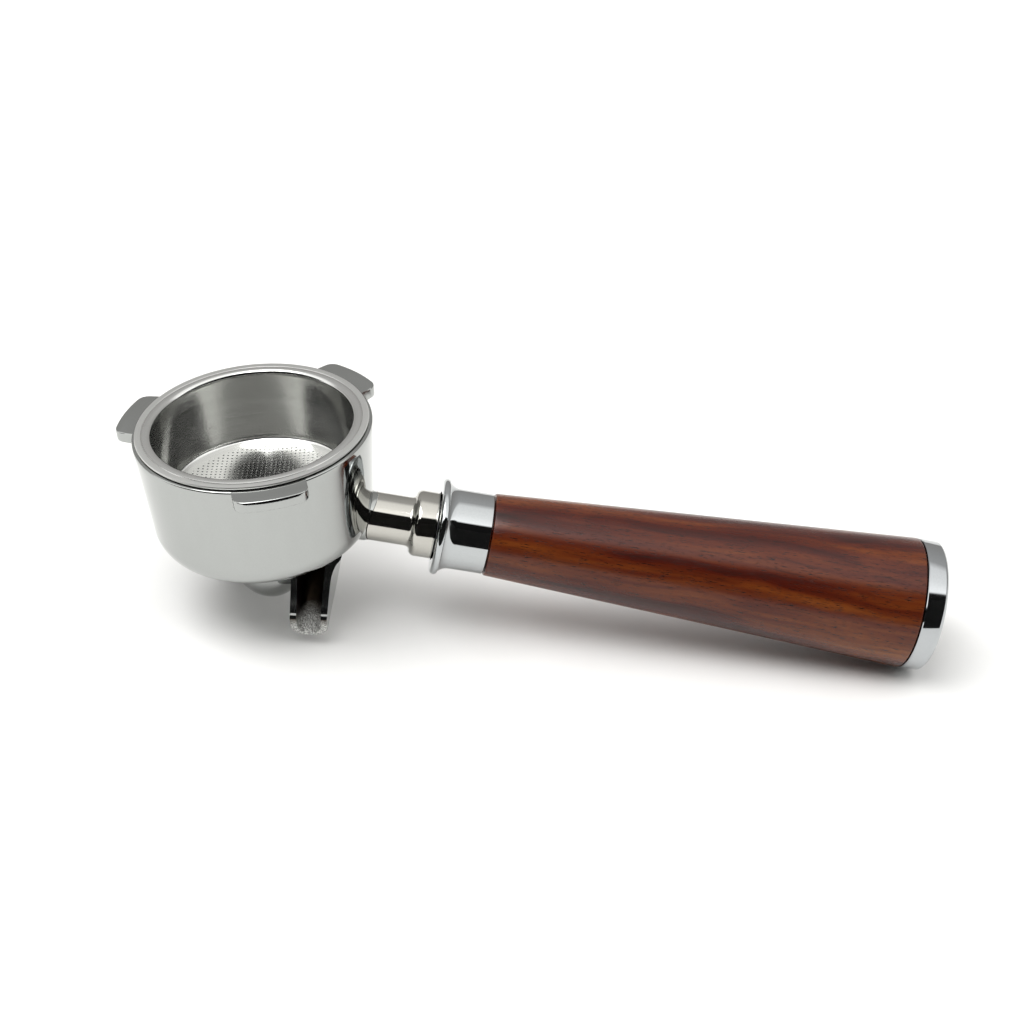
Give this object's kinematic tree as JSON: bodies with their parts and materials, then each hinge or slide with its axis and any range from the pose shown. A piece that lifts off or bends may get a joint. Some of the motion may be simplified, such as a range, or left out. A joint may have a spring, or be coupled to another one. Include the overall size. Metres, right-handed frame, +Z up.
{
  "type": "portafilter",
  "caption": "Espresso portafilter: chromed lugged bowl with a lift-out filter basket, a forked open spout under it, and a tapered hardwood handle with a chromed ferrule and end cap.",
  "frame": {"origin": "on the bowl's axis, level with the top of the basket's flat rim, which is the face the group's gasket presses on", "axes": "+Z up along the bowl's axis, +X towards the handle's end, +Y to the left of the handle seen from the bowl"},
  "size_m": [0.2122, 0.0657, 0.0827],
  "materials": {
    "bowl": "mirror polished chrome on cast brass",
    "basket": "satin pressed stainless steel, brighter floor",
    "neck_arm": "polished chrome on brass bar",
    "spout": "polished chrome outside, dark as-cast channels",
    "ferrule": "mirror polished chrome",
    "grip": "red-brown hardwood with dark streaks, satin lacquer",
    "end_cap": "mirror polished chrome, slightly worn edge",
    "basket_spring": "bright spring wire",
    "spout_gasket": "red silicone",
    "handle_stud": "zinc-plated steel",
    "lock_nut": "zinc-plated steel",
    "front_insert": "plain brass",
    "tail_insert": "plain brass",
    "cap_stud": "zinc-plated steel"
  },
  "bodies": {
    "holder": {"bowl": "bowl", "neck_arm": "neck_arm", "basket_spring": "basket_spring", "spout_gasket": "spout_gasket", "handle_stud": "handle_stud", "lock_nut": "lock_nut", "ferrule": "ferrule"},
    "filter": {"basket": "basket"},
    "outlet": {"spout": "spout"},
    "handle": {"grip": "grip", "front_insert": "front_insert", "tail_insert": "tail_insert", "cap_stud": "cap_stud"},
    "cap": {"end_cap": "end_cap"}
  },
  "joints": [
    {"name": "basket_lift", "type": "slide", "parent": "holder", "child": "filter", "axis": [0, 0, 1], "range_m": [0, 0.04]},
    {"name": "spout_turn", "type": "hinge", "parent": "holder", "child": "outlet", "pos_m": [0, 0, -0.0375], "axis": [0, 0, 1], "range_deg": [-110, 0]},
    {"name": "grip_turn", "type": "hinge", "parent": "holder", "child": "handle", "pos_m": [0.11353, 0, -0.05101], "axis": [0.9703, 0, -0.2419], "continuous": true},
    {"name": "cap_turn", "type": "hinge", "parent": "handle", "child": "cap", "pos_m": [0.17038, 0, -0.06518], "axis": [0.9703, 0, -0.2419], "continuous": true}
  ]
}
